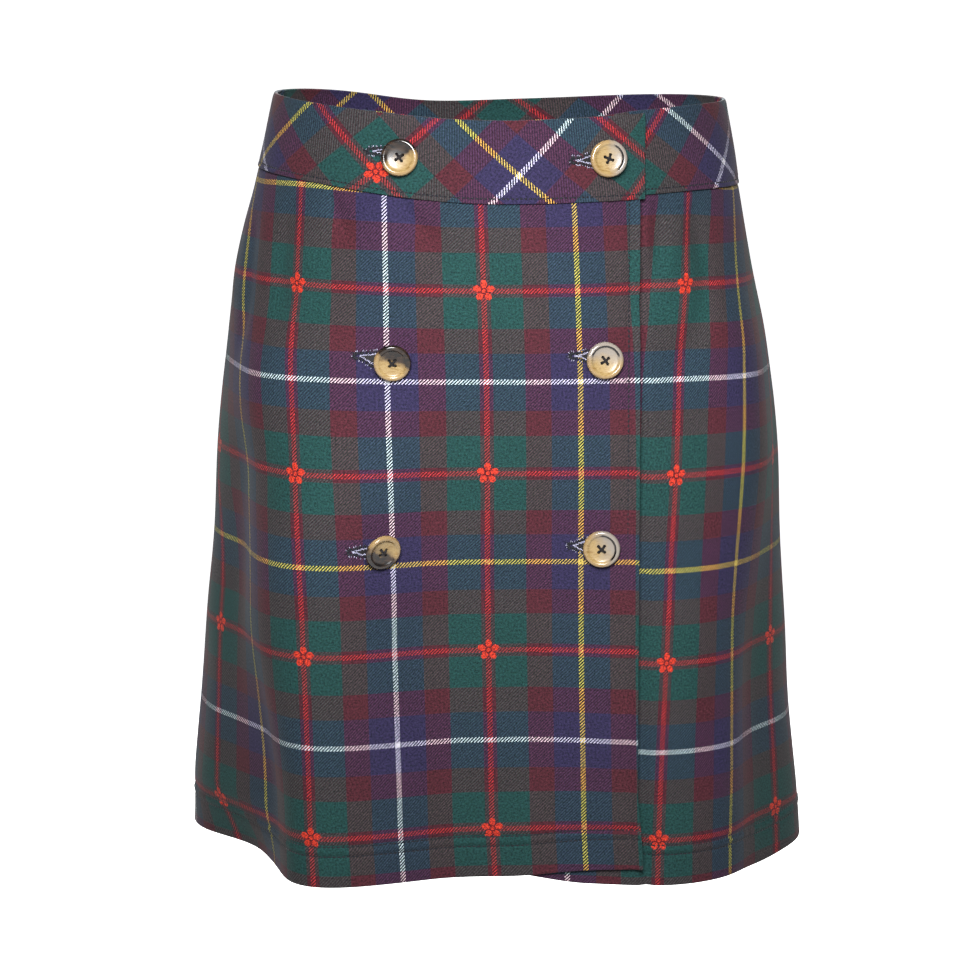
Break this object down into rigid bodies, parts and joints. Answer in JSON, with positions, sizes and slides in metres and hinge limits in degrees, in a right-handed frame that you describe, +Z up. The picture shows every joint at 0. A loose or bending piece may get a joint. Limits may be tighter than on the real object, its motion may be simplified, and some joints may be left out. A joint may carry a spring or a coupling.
{
  "type": "short tartan wrap skirt",
  "caption": "Short A-line tartan skirt with a wrapped double-breasted front, a bias-cut waistband and horn-look buttons, filled out as worn.",
  "frame": {"origin": "on the skirt's upright axis, at the centre of the waist opening, level with the band's top edge at the middle of the front", "axes": "+Z up, -Y out of the front, +X towards the wearer's left, which is the picture's right"},
  "size_m": [0.3962, 0.2831, 0.4852],
  "materials": {
    "tartan_cloth": "matt brushed jersey with a printed twill look, woven-look check of bottle green, burgundy and navy with red, white and yellow lines",
    "band_cloth": "the same cloth cut on the bias",
    "horn_look": "polished mottled horn look, amber with dark brown patches",
    "sewing_thread": "dark navy thread"
  },
  "bodies": {
    "root": {"front_over_panel": "tartan_cloth", "front_under_panel": "tartan_cloth", "back_panel": "tartan_cloth", "waistband_front_over": "band_cloth", "waistband_front_under": "band_cloth", "waistband_back": "band_cloth", "button_top_left": "horn_look", "button_top_right": "horn_look", "button_middle_left": "horn_look", "button_middle_right": "horn_look", "button_low_left": "horn_look", "button_low_right": "horn_look"}
  },
  "joints": []
}
